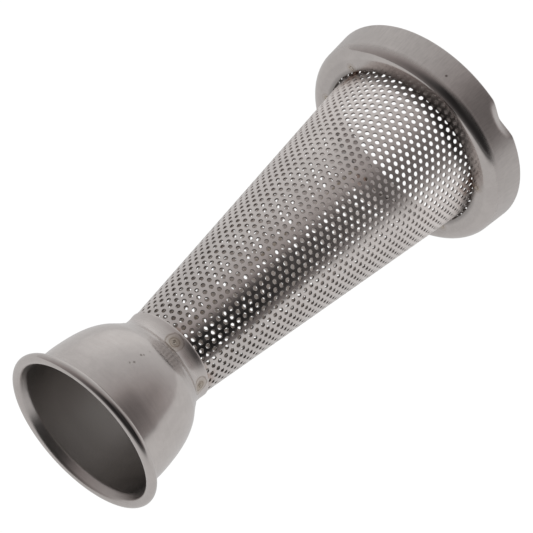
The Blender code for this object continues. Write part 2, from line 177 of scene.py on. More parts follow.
def lathe(name, loop, segments, mat, reshape=None):
    """A closed (x, radius) loop turned about the axis; reshape may alter the radii."""
    loop = np.asarray(loop, float)
    size = len(loop)
    x = np.tile(loop[:, 0], (segments, 1))
    radius = np.tile(loop[:, 1], (segments, 1))
    azimuth = np.tile((360.0 * np.arange(segments) / segments)[:, None], (1, size))
    if reshape is not None:
        radius = reshape(x, radius, azimuth)
    verts = place(x, radius, azimuth).reshape(-1, 3)
    i = np.arange(segments)[:, None]
    k = np.arange(size)[None, :]
    next_i, next_k = (i + 1) % segments, (k + 1) % size
    corners = [i * size + k, i * size + next_k, next_i * size + next_k, next_i * size + k]
    faces = np.stack(corners, -1).reshape(-1, 4)
    # the loop's own turning sense decides which side is out
    following = np.roll(loop, -1, axis=0)
    area = np.sum(loop[:, 0] * following[:, 1] - following[:, 0] * loop[:, 1])
    if area > 0:
        faces = faces[:, ::-1]
    return new_object(name, verts, faces.tolist(), mat, sharp_deg=50.0)


def smooth_curve(points, step):
    """A centripetal spline through the points, sampled at about this step."""

    def blend(t, low, high, first, second):
        return (high - t) / (high - low) * first + (t - low) / (high - low) * second

    points = np.asarray(points, float)
    points = np.vstack([2 * points[0] - points[1], points, 2 * points[-1] - points[-2]])
    curve = []
    for start in range(len(points) - 3):
        four = points[start : start + 4]
        legs = [np.linalg.norm(leg) for leg in np.diff(four, axis=0)]
        knots = [0.0]
        for leg in legs:
            knots.append(knots[-1] + leg**0.5)
        count = max(2, int(legs[1] / step + 0.5))
        for t in np.linspace(knots[1], knots[2], count, endpoint=False):
            three = [blend(t, knots[k], knots[k + 1], four[k], four[k + 1]) for k in range(3)]
            two = [blend(t, knots[k], knots[k + 2], three[k], three[k + 1]) for k in range(2)]
            curve.append(blend(t, knots[1], knots[2], *two))
    curve.append(points[-2])
    return np.array(curve)


def offset_profile(points, distance):
    """The open profile moved towards the axis, square to itself."""
    along = np.gradient(points, axis=0)
    along /= np.linalg.norm(along, axis=1)[:, None]
    normals = np.c_[along[:, 1], -along[:, 0]]
    if normals[0, 1] > 0:
        normals = -normals
    return points + normals * distance


def face_outward(verts, faces):
    """The faces turned round if the closed mesh they make is inside out."""
    verts = np.asarray(verts, float)
    volume = 0.0
    for face in faces:
        for k in range(1, len(face) - 1):
            volume += np.dot(verts[face[0]], np.cross(verts[face[k]], verts[face[k + 1]]))
    return faces if volume > 0 else [tuple(reversed(face)) for face in faces]


# ---- flanged cap -----------------------------------------------------------
def notch(x, radius, azimuth):
    """The notch pressed into the rim: a short pointed dent with a clear edge."""
    edge = 0.10  # softness where the flanks meet the skirt
    bottom = 0.16  # softness of the lowest point
    fade_end, fade_width = 1.35, 0.25
    turn = (azimuth - NOTCH_AZ + 180.0) % 360.0 - 180.0
    reach = np.hypot(turn / NOTCH_HALF_DEG, (RIM_X - x) / NOTCH_LENGTH)
    fall = 1.0 - np.hypot(reach, bottom)
    settle = 0.5 * edge * np.exp(-np.maximum(reach - 1.0, 0.0) * 4.0)
    fall = 0.5 * (fall + np.sqrt(fall * fall + edge * edge)) - settle
    push = NOTCH_DEPTH * np.clip(fall, 0.0, None) / 0.80
    push = push * np.clip((fade_end - reach) / fade_width, 0.0, 1.0)
    # only the skirt and shoulder move
    return np.where(radius > 30.0, radius - push, radius)


def build_cap(mat):
    def skirt(x):
        rise = (CAP_SKIRT_RIM_R - CAP_SKIRT_FOOT_R) * (x - CAP_SHOULDER_X)
        return CAP_SKIRT_FOOT_R + rise / (RIM_X - 0.3 - CAP_SHOULDER_X)

    bore_round, bore_round_in, rim_round = 0.16, 0.12, 0.2
    flat_start = (FACE_X, CAP_BORE_R + bore_round)
    flat_stop = (FACE_X, CAP_FLAT_R - 0.25)
    rim_x = RIM_X - rim_round
    rim_r = skirt(-rim_round)
    inner_x = FACE_X + CAP_T
    skirt_x = np.linspace(CAP_SHOULDER_X + 0.4, -0.5, 20)

    outer = [(FACE_X + bore_round, CAP_BORE_R)]
    outer += arc(FACE_X + bore_round, CAP_BORE_R + bore_round, bore_round, 270, 180, 5)[1:]
    outer += between(flat_start, flat_stop, 6)
    outer += [flat_stop, (FACE_X, CAP_FLAT_R)]
    outer += arc(CAP_SHOULDER_X, CAP_FLAT_R, CAP_SHOULDER_R, 180, 90, 22)[1:]
    outer += [(x, skirt(x)) for x in skirt_x]
    outer += arc(rim_x, rim_r - rim_round, rim_round, 86, 0, 5)
    inner = arc(rim_x, rim_r - CAP_T + rim_round, rim_round, 0, -86, 5)
    inner += [(x, skirt(x) - CAP_T) for x in skirt_x[::-1]]
    inner += arc(CAP_SHOULDER_X, CAP_FLAT_R, CAP_SHOULDER_R - CAP_T, 90, 180, 16)
    inner += between((inner_x, CAP_FLAT_R), (inner_x, CAP_BORE_R + bore_round_in), 5)
    inner += arc(
        inner_x - bore_round_in, CAP_BORE_R + bore_round_in, bore_round_in, 0, -90, 4
    )
    return lathe("cap_body", outer + inner, CAP_SEGMENTS, mat, notch)


# ---- bell mouth ------------------------------------------------------------
def build_bell(mat):
    """Collar, dome and mouth of one sheet, rolled outwards at the mouth.

    The rolled sheet's free edge stops short of the wall.
    """
    angles = (CURL_FROM, CURL_TO, CURL_POINTS)
    curl_in = np.array(arc(CURL_X, CURL_R, CURL_TUBE_R - BELL_T, *angles))
    curl_out = np.array(arc(CURL_X, CURL_R, CURL_TUBE_R, *angles))
    wall_out = smooth_curve(np.vstack([BELL_OUTSIDE, curl_in[:1]]), BELL_STEP)
    wall_in = offset_profile(np.vstack([wall_out, curl_in[1:2]]), BELL_T)[:-2]
    # a small radius on the free edge of the collar: offsets from its outside corner
    collar_x, collar_r = BELL_OUTSIDE[0]
    edge = [
        (collar_x + along, collar_r - drop)
        for along, drop in ((0.09, 0.30), (0.09, 0.14), (0.06, 0.05))
    ]
    loop = [*wall_out[:-1], *curl_in, *curl_out[::-1], *wall_in[::-1], *edge]
    return lathe("bell_body", loop, BELL_SEGMENTS, mat)


# ---- perforated cone -------------------------------------------------------
# The cone is laid out as a flat developed sheet whose polar distance is the slant distance
# from the apex, then rolled up. Its large end bends out into a flat lip behind the cap face.
BEND_TURN = math.pi / 2 - CONE_HALF
BEND_X = LIP_FRONT_X - BEND_R * (1.0 - SIN)
BEND_CENTRE_X = BEND_X - BEND_R * SIN
BEND_CENTRE_R = (BEND_X - CONE_APEX_X) * TAN + BEND_R * COS
SLANT_SMALL = (CONE_SMALL_X - CONE_APEX_X) / COS
SLANT_BEND = (BEND_X - CONE_APEX_X) / COS
SLANT_LIP = SLANT_BEND + (BEND_R + CONE_T / 2) * BEND_TURN
SLANT_END = SLANT_LIP + (LIP_R - BEND_CENTRE_R)
SHEET_HALF = math.radians(180.0 * SIN)


def wall(slant):
    """Outside profile x, radius and outward normal (x, radial) at this slant distance."""
    slant = np.asarray(slant, float)
    angle = np.clip((slant - SLANT_BEND) / (BEND_R + CONE_T / 2), 0.0, BEND_TURN) - BEND_TURN
    on_cone = slant <= SLANT_BEND
    x = np.where(on_cone, CONE_APEX_X + slant * COS, BEND_CENTRE_X + BEND_R * np.cos(angle))
    beyond = np.maximum(slant - SLANT_LIP, 0.0)
    bent_r = BEND_CENTRE_R + BEND_R * np.sin(angle) + beyond
    return x, np.where(on_cone, slant * SIN, bent_r), -np.cos(angle), -np.sin(angle)


def sheet_to_space(points, depth):
    """Sheet points rolled up, this deep below the outside surface, and their normals."""
    slant = np.hypot(points[:, 0], points[:, 1])
    turn = np.degrees(np.arctan2(points[:, 1], points[:, 0]))
    azimuth = turn / SIN + 180.0 + SEAM_AZ
    x, radius, normal_x, normal_r = wall(slant)
    normals = normal_r[:, None] * radial(azimuth)
    normals[:, 0] += normal_x
    return place(x - normal_x * depth, radius - normal_r * depth, azimuth), normals


def developed(slant, azimuth):
    turn = math.radians(((azimuth - SEAM_AZ) % 360.0 - 180.0) * SIN)
    return slant * math.cos(turn), slant * math.sin(turn)


def hole_centres():
    """Every punched hole, on a 60 degree lattice in the sheet, and the lattice's angle."""
    origin = np.array(developed(LATTICE_SLANT, LATTICE_AZ))
    base = math.atan2(origin[1], origin[0]) + LATTICE_TURN
    row, column = (
        np.array([math.cos(angle), math.sin(angle)]) for angle in (base, base - math.pi / 3)
    )
    i, j = np.meshgrid(np.arange(-110, 111), np.arange(-110, 111), indexing="ij")
    centres = origin + HOLE_PITCH * (i.reshape(-1, 1) * row + j.reshape(-1, 1) * column)
    slant = np.hypot(centres[:, 0], centres[:, 1])
    turn = np.degrees(np.arctan2(centres[:, 1], centres[:, 0])) / SIN
    to_seam = (180.0 - np.abs(turn)) * math.radians(1.0) * slant * SIN
    centres = centres[
        (centres[:, 0] > 0)
        & (slant > SLANT_SMALL + HOLE_RIM_R + HOLE_END_MARGIN)
        & (slant < SLANT_END - HOLE_RIM_R - HOLE_END_MARGIN)
        & (to_seam > HOLE_RIM_R + HOLE_SEAM_MARGIN)
    ]
    # the sheet is left whole where a spot weld holds it
    neck_slant = (NECK_WELD_X - CONE_APEX_X) / COS
    cap_slant = SLANT_LIP + CAP_WELD_R_POS - BEND_CENTRE_R
    welds = [(neck_slant, azimuth, NECK_WELD_R) for azimuth in NECK_WELD_AZ]
    welds += [(cap_slant, azimuth, CAP_WELD_R) for azimuth in CAP_WELD_AZ]
    for weld_slant, azimuth, radius in welds:
        x, y = developed(weld_slant, azimuth)
        distance = np.hypot(centres[:, 0] - x, centres[:, 1] - y)
        centres = centres[distance > radius + HOLE_RIM_R + HOLE_WELD_MARGIN]
    return centres, base


def sheet_arc(slant, turns):
    return np.c_[slant * np.cos(turns), slant * np.sin(turns)]


def loose_points(centres):
    """Points between the holes that keep the margins and the bend round."""
    # slant distance, number of steps across the sheet
    rows = [(SLANT_SMALL + 0.9, 150), (SLANT_BEND - 0.5, 200)]
    rows += [(slant, 240) for slant in np.linspace(SLANT_BEND, SLANT_LIP, 5)]
    rows += [(SLANT_LIP + 1.3, 200), (SLANT_END - 0.5, 200)]
    points = np.vstack([
        sheet_arc(slant, np.linspace(-SHEET_HALF, SHEET_HALF, count + 1)[1:-1])
        for slant, count in rows
    ])
    nearest = np.full(len(points), np.inf)
    # in blocks, to keep the distance table small
    for block in np.array_split(centres, 12):
        offsets = (points[:, None] - block[None]).transpose(2, 0, 1)
        nearest = np.minimum(nearest, np.hypot(*offsets).min(1))
    return points[nearest > HOLE_RIM_R + 0.10]


def triangulate_sheet(centres, rims, rim_edges):
    """The sheet's points, its triangles, and the index ranges of its four sides.

    The sides are small end, right, big end and left; rim points come first.
    """
    stations = np.concatenate([
        [SLANT_SMALL + 0.8],
        np.linspace(SLANT_SMALL + 2.6, SLANT_BEND - 1.2, 62),
        [SLANT_BEND - 0.4],
        np.linspace(SLANT_BEND, SLANT_LIP, 5),
        [SLANT_LIP + 1.2],
    ])
    right = np.c_[stations * math.cos(SHEET_HALF), stations * math.sin(SHEET_HALF)]
    small = sheet_arc(SLANT_SMALL, np.linspace(-SHEET_HALF, SHEET_HALF, 181))
    big = sheet_arc(SLANT_END, np.linspace(-SHEET_HALF, SHEET_HALF, 241))
    sides, first = [], len(rims)
    parts = (small, right, big, right * (1.0, -1.0))
    for part in parts:
        sides.append(first + np.arange(len(part)))
        first += len(part)
    outline = np.concatenate([sides[0], sides[1], sides[2][::-1], sides[3][::-1]])
    edges = np.vstack([rim_edges, np.stack([outline, np.roll(outline, -1)], -1)])
    points = np.vstack([rims, *parts, loose_points(centres)])

    result = delaunay_2d_cdt([Vector(p) for p in points], edges.tolist(), [], 0, 1e-7)
    flat = np.array([tuple(v) for v in result[0]])
    tris = np.array([t for t in result[2] if len(t) == 3])
    if len(flat) != len(points):
        raise RuntimeError("the developed sheet's outline and holes cross")
    hole_id = np.full(len(flat), -1)
    hole_id[: len(rims)] = np.repeat(np.arange(len(centres)), HOLE_SIDES)
    ids = hole_id[tris]
    in_hole = (ids[:, 0] >= 0) & (ids[:, 0] == ids[:, 1]) & (ids[:, 1] == ids[:, 2])
    middle = flat[tris].mean(1)
    slant = np.hypot(middle[:, 0], middle[:, 1])
    turn = np.abs(np.arctan2(middle[:, 1], middle[:, 0]))
    # a triangle whose corners all lie on the small end's arc is outside the sheet
    on_small = ((tris >= sides[0][0]) & (tris <= sides[0][-1])).all(1)
    tris = tris[~in_hole & ~(on_small | (turn > SHEET_HALF) | (slant > SLANT_END))]
    cross = np.cross(flat[tris[:, 1]] - flat[tris[:, 0]], flat[tris[:, 2]] - flat[tris[:, 0]])
    tris[cross < 0] = tris[cross < 0][:, ::-1]
    return flat, tris, sides


def unit(vectors):
    return vectors / np.linalg.norm(vectors, axis=1)[:, None]


def oriented(verts, faces, normals):
    """Faces and corner normals, all turned round if the first face disagrees with its own."""
    first, second, third = verts[faces[0, :3]]
    if np.dot(np.cross(second - first, third - first), normals[0, 0]) < 0:
        return faces[:, ::-1], normals[:, ::-1]
    return faces, normals


def build_screen(mat):
    centres, phase = hole_centres()
    angles = phase + 2 * math.pi * np.arange(HOLE_SIDES) / HOLE_SIDES
    spokes = np.stack([np.cos(angles), np.sin(angles)], -1)
    wide = (centres[:, None, :] + HOLE_RIM_R * spokes[None]).reshape(-1, 2)
    tight = (centres[:, None, :] + HOLE_R * spokes[None]).reshape(-1, 2)
    first = np.arange(len(centres))[:, None] * HOLE_SIDES
    step = np.arange(HOLE_SIDES)
    rim_edges = np.stack([first + step, first + (step + 1) % HOLE_SIDES], -1).reshape(-1, 2)
    flat, tris, (small, right, big, left) = triangulate_sheet(centres, wide, rim_edges)

    # roll the sheet up: the two straight sides become one
    size = len(flat)
    merge = np.arange(size)
    merge[right] = left
    merge[small[-1]] = small[0]
    merge[big[-1]] = big[0]
    # three layers of vertices: outside, inside (+ size) and foot of the rolled edge (+ 2 size)
    narrow = flat.copy()
    narrow[: len(tight)] = tight
    outer, outer_n = sheet_to_space(flat, 0.0)
    inner, inner_n = sheet_to_space(narrow, CONE_T)
    foot, foot_n = sheet_to_space(tight, HOLE_ROLL)
    verts = np.vstack([outer, inner, foot])
    vert_normals = np.vstack([outer_n, -inner_n, foot_n])

    # from each hole vertex towards its hole's centre, in space
    hubs = sheet_to_space(centres, CONE_T / 2)[0]
    bore_n = unit(np.repeat(hubs, HOLE_SIDES, axis=0) - sheet_to_space(tight, CONE_T / 2)[0])
    edge_n = unit(bore_n + foot_n)

    tris = merge[tris]
    outside = oriented(verts, tris, vert_normals[tris])
    inside = outside[0][:, ::-1] + size
    parts = [outside, (inside, vert_normals[inside])]

    # the rolled edge and the bore of every hole
    start, end = rim_edges.T
    start_foot, end_foot = start + 2 * size, end + 2 * size
    roll = np.stack([start, end, end_foot, start_foot], -1)
    roll_n = np.stack([outer_n[start], outer_n[end], edge_n[end], edge_n[start]], 1)
    bore = np.stack([start_foot, end_foot, end + size, start + size], -1)
    wall_n = np.stack([edge_n[start], edge_n[end], bore_n[end], bore_n[start]], 1)
    parts += [oriented(verts, roll, roll_n), oriented(verts, bore, wall_n)]

    # the sheared edges: the small end faces -X, the lip's edge faces away from the axis
    for side in (small, big):
        ring = merge[side]
        start, end = ring[:-1], ring[1:]
        quads = np.stack([start, end, end + size, start + size], -1)
        if side is small:
            normals = np.tile((-1.0, 0.0, 0.0), (len(start), 4, 1))
        else:
            normals = np.repeat(unit(verts[start] * (0.0, 1.0, 1.0))[:, None], 4, axis=1)
        parts.append(oriented(verts, quads, normals))

    used = np.zeros(len(verts), bool)
    for faces, _ in parts:
        used[faces] = True
    new_index = np.cumsum(used) - 1
    all_faces = [face for faces, _ in parts for face in new_index[faces].tolist()]
    corner_normals = np.vstack([normals.reshape(-1, 3) for _, normals in parts])
    obj = new_object("cone_screen", verts[used], all_faces, mat, corner_normals)
    obj["holes"] = len(centres)
    return obj


# ---- seam bead -------------------------------------------------------------
# half section of the crown: share of the half width, share of the height
BEAD_SECTION = ((-1.0, -0.02), (-0.85, 0.35), (-0.55, 0.78), (-0.2, 0.97))
BEAD_HALF = 0.56
BEAD_RIPPLE_PITCH = 0.88


def build_seam(mat):
    """The longitudinal weld bead: a low rippled ridge, nearly flush inside the cone."""
    up, across = radial(SEAM_AZ), radial(SEAM_AZ + 90.0)
    stations = np.concatenate([[-128.9], np.arange(-128.5, -13.4, 0.22), [-13.2]])
    ripples = 0.5 + 0.5 * np.cos(2 * math.pi * stations / BEAD_RIPPLE_PITCH)
    wander = 0.05 * np.sin(stations / 3.7) + 0.04 * np.sin(stations / 1.9 + 1.0)
    # no crown under the collar, a lower one at the cap end
    clear = np.clip((stations + 121.6) / 0.5, 0.0, 1.0)
    taper = np.clip((-13.2 - stations) / 1.2, 0.25, 1.0)
    section = [*BEAD_SECTION, *((-side, height) for side, height in BEAD_SECTION[::-1])]
    verts, faces = [], []
    for i, x in enumerate(stations):
        top = (x - CONE_APEX_X) * TAN
        half = BEAD_HALF + wander[i] + 0.03 * ripples[i]
        crown = (0.10 + 0.06 * ripples[i]) * clear[i] * taper[i]
        sunk = 0.0 if clear[i] > 0 else 0.03
        bottom = top - CONE_T / COS - 0.02 * clear[i]
        ring = [(side * half, top + crown * height - sunk) for side, height in section]
        ring += [(half, bottom + 0.08), (0.5 * half, bottom - 0.03)]
        ring += [(-0.5 * half, bottom - 0.03), (-half, bottom + 0.08)]
        verts += [np.array([x, 0.0, 0.0]) + up * radius + across * side for side, radius in ring]
    size = len(section) + 4
    last = (len(stations) - 1) * size
    for i in range(0, last, size):
        for k in range(size):
            after = (k + 1) % size
            faces.append((i + k, i + after, i + size + after, i + size + k))
    faces.append(tuple(range(size))[::-1])
    faces.append(tuple(last + k for k in range(size)))
    return new_object("seam_bead", verts, face_outward(verts, faces), mat, sharp_deg=60.0)


# ---- spot welds ------------------------------------------------------------
def build_nugget(name, base, axis, side, radius, length, mat, phase):
    """A spot weld through both sheets: crater with a raised ring outside, button inside."""
    other = np.cross(axis, side)
    # height along the axis, share of the radius
    button = [(-0.05, 0.0), (-0.05, 0.45), (-0.03, 0.8), (0.02, 0.97), (0.10, 1.0)]
    # the same, with heights from the outer end
    crater = [
        (-0.06, 1.0), (0.015, 0.98), (0.050, 0.88), (0.060, 0.78), (0.045, 0.64),
        (0.010, 0.5), (-0.020, 0.34), (-0.010, 0.2), (0.0, 0.0),
    ]
    profile = button + [(length + height, share) for height, share in crater]
    verts, faces = [base + axis * profile[0][0]], []
    for height, share in profile[1:-1]:
        for i in range(NUGGET_SIDES):
            angle = 2 * math.pi * i / NUGGET_SIDES
            wobble = 1.0 + 0.03 * math.sin(2 * angle + phase)
            wobble += 0.02 * math.sin(5 * angle + 2 * phase)
            lift = 0.012 * math.sin(3 * angle + phase) if height > length else 0.0
            spoke = math.cos(angle) * side + math.sin(angle) * other
            verts.append(base + axis * (height + lift) + radius * share * wobble * spoke)
    verts.append(base + axis * profile[-1][0])
    last = 1 + (len(profile) - 3) * NUGGET_SIDES
    for i in range(NUGGET_SIDES):
        j = (i + 1) % NUGGET_SIDES
        faces.append((0, 1 + j, 1 + i))
        for ring in range(1, last, NUGGET_SIDES):
            above = ring + NUGGET_SIDES
            faces.append((ring + i, ring + j, above + j, above + i))
        faces.append((last + i, last + j, len(verts) - 1))
    return new_object(name, verts, face_outward(verts, faces), mat, sharp_deg=60.0)


# ---- shader node helpers ---------------------------------------------------
class Channel:
    """A node output; arithmetic on it adds Math nodes."""

    def __init__(self, nodes, socket):
        self.nodes, self.socket = nodes, socket

    def __add__(self, other):
        return self.nodes.math("ADD", self, other)

    def __radd__(self, other):
        return self.nodes.math("ADD", other, self)

    def __sub__(self, other):
        return self.nodes.math("SUBTRACT", self, other)

    def __mul__(self, other):
        return self.nodes.math("MULTIPLY", self, other)

    def __rtruediv__(self, other):
        return self.nodes.math("DIVIDE", other, self)


class Nodes:
    """Short calls for building a node tree."""

    def __init__(self, tree):
        self.tree = tree

    def plug(self, source, target):
        if isinstance(source, Channel):
            self.tree.links.new(source.socket, target)
        else:
            target.default_value = source

    def node(self, kind, inputs, **settings):
        """A new node with these inputs, keyed by index or name."""
        node = self.tree.nodes.new(kind)
        for key, value in settings.items():
            setattr(node, key, value)
        for key, value in inputs.items():
            self.plug(value, node.inputs[key])
        return node

    def value(self, kind, inputs, output=0, **settings):
        return Channel(self, self.node(kind, inputs, **settings).outputs[output])

    def math(self, operation, first, second=0.0):
        inputs = {0: first, 1: second, 2: 0.0}
        return self.value("ShaderNodeMath", inputs, operation=operation)

    def vector(self, operation, first, second=(0.0, 0.0, 0.0), output="Vector"):
        inputs = {0: first, "Scale" if operation == "SCALE" else 1: second}
        return self.value("ShaderNodeVectorMath", inputs, output, operation=operation)

    def distance(self, first, second):
        return self.vector("DISTANCE", first, second, output="Value")

    def dot(self, first, second):
        return self.vector("DOT_PRODUCT", first, second, output="Value")

    def combine(self, x, y, z):
        return self.value("ShaderNodeCombineXYZ", {0: x, 1: y, 2: z})

    def split(self, vector):
        node = self.node("ShaderNodeSeparateXYZ", {0: vector})
        return [Channel(self, socket) for socket in node.outputs]

    def ramp(self, value, low, high, to_low=0.0, to_high=1.0, kind="SMOOTHSTEP"):
        inputs = {
            "Value": value, "From Min": low, "From Max": high,
            "To Min": to_low, "To Max": to_high,
        }
        return self.value("ShaderNodeMapRange", inputs, interpolation_type=kind)

    def noise(self, vector, scale, detail=3.0, rough=0.5, distortion=0.0):
        inputs = {
            "Vector": vector, "Scale": scale, "Detail": detail,
            "Roughness": rough, "Distortion": distortion,
        }
        return self.value("ShaderNodeTexNoise", inputs, noise_dimensions="3D")

    def mix(self, factor, first, second):
        inputs = {0: factor}
        for key, colour in ((6, first), (7, second)):
            inputs[key] = (*colour, 1.0) if isinstance(colour, tuple) else colour
        return self.value("ShaderNodeMix", inputs, 2, data_type="RGBA")

    def mix_shader(self, factor, first, second):
        return self.value("ShaderNodeMixShader", {0: factor, 1: first, 2: second})

    def camera_ray(self):
        return self.value("ShaderNodeLightPath", {}, "Is Camera Ray")

    def object_position(self):
        return self.value("ShaderNodeTexCoord", {}, "Object")

    def nearest(self, pos, centres):
        """Distance to the nearest of these points."""
        least = None
        for centre in centres:
            away = self.distance(pos, centre)
            least = away if least is None else self.math("MINIMUM", least, away)
        return least


def new_material(name):
    mat = bpy.data.materials.new(name)
    mat.use_nodes = True
    return mat, Nodes(mat.node_tree)


def finish_metal(nodes, base, rough, height, bump, distance):
    """Wires colour, roughness and bump height into the metal shader."""
    shader = nodes.tree.nodes["Principled BSDF"]
    inputs = {"Strength": bump, "Distance": distance, "Height": height}
    normal = nodes.value("ShaderNodeBump", inputs)
    for key, value in (
        ("Base Color", base), ("Roughness", rough), ("Metallic", 1.0), ("Normal", normal),
    ):
        nodes.plug(value, shader.inputs[key])


# ---- sheet steel -----------------------------------------------------------
MOTTLING = 0.45


def scaled(colour, factor):
    return tuple(c * factor for c in colour)


def grain_lines(nodes, coords, unit_y, unit_z, axial_share):
    """Surface grain: fine lines along the axis blended with lines round it."""
    x, y, z, radius = coords
    axial = nodes.combine(x * 40.0, y * 2600.0, z * 2600.0)
    spun = nodes.combine((x + radius * 1.0) * 3200.0, unit_y * 2.2, unit_z * 2.2)
    axial_lines, spun_lines = (
        nodes.noise(space, scale=1.0, detail=3.0, rough=0.6) for space in (axial, spun)
    )
    return axial_lines * axial_share + spun_lines * (1.0 - axial_share)


def fine_scratches(nodes, pos, strength):
    """Fine scratches in three directions, broken up by a mask."""
    scratches = None
    for tilt, seed in ((0.5, 3.1), (-0.8, 7.7), (1.9, 12.3)):
        inputs = {"Vector": pos, "Rotation": (tilt, 0.6 * tilt, tilt * 1.3)}
        turned = nodes.value("ShaderNodeVectorRotate", inputs, rotation_type="EULER_XYZ")
        stretched = nodes.vector("MULTIPLY", turned, (90.0, 4200.0, 90.0))
        stretched = nodes.vector("ADD", stretched, (seed, seed * 2, seed * 3))
        line = nodes.ramp(nodes.noise(stretched, scale=1.0, detail=1.0), 0.685, 0.76)
        shifted = nodes.vector("ADD", pos, (seed, 0.0, seed))
        mask = nodes.ramp(nodes.noise(shifted, scale=130.0, detail=2.0), 0.54, 0.70)
        line = line * mask * strength
        scratches = line if scratches is None else nodes.math("MAXIMUM", scratches, line)
    return scratches


def painted_inner_shade(nodes, base, rough, x, outward, tone, bell_end, cap_end, more_rough, first_x,
                facing):
    """Paints shade into the colour of the side that faces the axis, from first_x on towards the
    cap.

    bell_end and cap_end are the amounts there; facing is the range of the normal's outward
    part over which a surface comes to count as turned in.
    """
    normal = nodes.value("ShaderNodeNewGeometry", {}, "Normal")
    turned_in = nodes.ramp(nodes.dot(normal, outward), *facing)
    within = turned_in * nodes.ramp(x, (first_x - 0.5) * MM, (first_x + 0.5) * MM)
    amount = within * nodes.ramp(x, -45.0 * MM, 70.0 * MM, bell_end, cap_end, kind="LINEAR")
    # painted shade: the turned-in side's colour mixed towards the darker tone
    return nodes.mix(amount, base, tone), rough + turned_in * more_rough


def dark_mark(nodes, base, rough, pos, centre, size, depth):
    """One dark scuff with a ragged outline."""
    ragged = nodes.combine(*(nodes.noise(pos, scale) for scale in (900.0, 1100.0, 1000.0)))
    ragged = nodes.vector("SUBTRACT", ragged, (0.5, 0.5, 0.5))
    ragged = nodes.vector("SCALE", ragged, size * 1.1)
    away = nodes.distance(nodes.vector("ADD", pos, ragged), centre)
    spot = nodes.ramp(away, size, size * 0.35) * depth
    return nodes.mix(spot, base, (0.10, 0.075, 0.06)), rough + spot * 0.25


def weld_tint(nodes, base, rough, pos, welds, ring_radii, tint, bleed):
    """Uneven oxide rings round each nugget on a faint straw halo.

    ring_radii are in mm. Where bleed is set, brown staining spreads that far, in mm.
    """
    nearest = nodes.nearest(pos, welds)
    nearest = nearest + (nodes.noise(pos, scale=700.0) - 0.5) * 0.0010
    near, far = (radius * MM for radius in ring_radii)
    uneven = nodes.ramp(nodes.noise(pos, scale=900.0, detail=2.0), 0.32, 0.68, 0.45, 1.0)
    halo = nodes.ramp(nearest, far * 1.18, near * 0.8) * (tint * 0.42)
    base = nodes.mix(halo, base, (0.47, 0.39, 0.29))
    for radius, width, amount in ((near, 0.34 * MM, 0.55), (far, 0.42 * MM, 0.50)):
        off = nodes.math("ABSOLUTE", nearest - radius)
        ring = nodes.ramp(off, width, 0.0) * uneven * (tint * amount)
        base = nodes.mix(ring, base, (0.25, 0.185, 0.135))
    if bleed:
        patchy = nodes.ramp(nodes.noise(pos, scale=330.0, rough=0.6), 0.38, 0.58)
        stain = nodes.ramp(nearest, bleed * MM, 0.3 * bleed * MM) * patchy * 0.75
        base = nodes.mix(stain, base, (0.36, 0.225, 0.165))
    return base, rough + halo * 0.25


def steel(name, *, colour, rough, axial_share, bump, gains, zones, welds, ring_radii, tint,
          bleed=0.0, marks=(), inside=None, scratch=1.0):
    """Stainless sheet: soft mottling, grain, scratches, smudges and weld heat tint, with painted
    shade and painted light by position and on the side facing the axis.

    gains: painted shade and painted light by position, as (coordinate, from, to, brightness
    factor reached)
    zones: (coordinate, from, to, added roughness, added line depth)
    marks: (centre in metres, radius, darkness)
    The coordinate is "x", from the origin, or "r", from the axis; lengths are in mm.
    """
    mat, nodes = new_material(name)
    pos = nodes.object_position()
    x, y, z = nodes.split(pos)
    radius = nodes.math("SQRT", y * y + z * z)
    inverse = 1.0 / nodes.math("MAXIMUM", radius, 0.001)
    unit_y, unit_z = y * inverse, z * inverse
    coordinates = {"x": x, "r": radius}

    lines = grain_lines(nodes, (x, y, z, radius), unit_y, unit_z, axial_share)
    speckle = nodes.noise(pos, scale=5200.0, detail=2.0, rough=0.6)

    # tone: broad mottling and finer clouding
    broad = nodes.noise(pos, scale=55.0, detail=4.0, rough=0.55, distortion=0.6)
    fine = nodes.noise(pos, scale=420.0, rough=0.6)
    cloud = broad * 0.65 + fine * 0.35
    dark = scaled(colour, 1.0 - 0.13 * MOTTLING)
    light = scaled(colour, 1.0 + 0.09 * MOTTLING)
    base = nodes.mix(nodes.ramp(cloud, 0.34, 0.66), dark, light)
    base = nodes.mix(nodes.ramp(lines, 0.42, 0.70) * 0.10, base, scaled(colour, 0.72))
    # painted shade and painted light: the colour scaled darker or lighter by position
    for which, start, end, gain in gains:
        there = nodes.ramp(coordinates[which], start * MM, end * MM)
        base = nodes.mix(there, base, nodes.vector("SCALE", base, gain))

    # painted shade on the side facing the axis
    if inside:
        outward = nodes.combine(0.0, unit_y, unit_z)
        base, rough = painted_inner_shade(nodes, base, rough, x, outward, **inside)
    scratches = fine_scratches(nodes, pos, scratch)

    # where the lines are deeper they also show as darker streaks
    coarse = 0.0
    for which, start, end, more_rough, more_lines in zones:
        there = nodes.ramp(coordinates[which], start * MM, end * MM)
        rough = rough + there * more_rough
        coarse = coarse + there * more_lines
    streaks = nodes.ramp(lines, 0.44, 0.60) * (coarse * 0.035)
    base = nodes.mix(streaks, base, scaled(colour, 0.55))
    rough = rough + (cloud - 0.5) * (0.22 * MOTTLING)
    rough = rough + scratches * 0.12

    # smudges: small dull stains, sparse
    shifted = nodes.vector("ADD", pos, (0.37, 0.11, 0.23))
    smudges = nodes.noise(shifted, scale=240.0, detail=4.0, rough=0.65, distortion=1.0)
    smudges = nodes.ramp(smudges, 0.665, 0.76) * 0.5
    base = nodes.mix(smudges * 0.35, base, scaled(colour, 0.55))
    rough = rough + smudges * 0.14

    for centre, size, depth in marks:
        base, rough = dark_mark(nodes, base, rough, pos, centre, size * MM, depth)
    base, rough = weld_tint(nodes, base, rough, pos, welds, ring_radii, tint, bleed)

    rough = nodes.math("MAXIMUM", rough, 0.06)
    height = lines * (coarse + 1.0) + speckle * 0.20 - scratches * 0.8 + fine * 0.7
    finish_metal(nodes, base, rough, height, bump, distance=0.00012)
    return mat


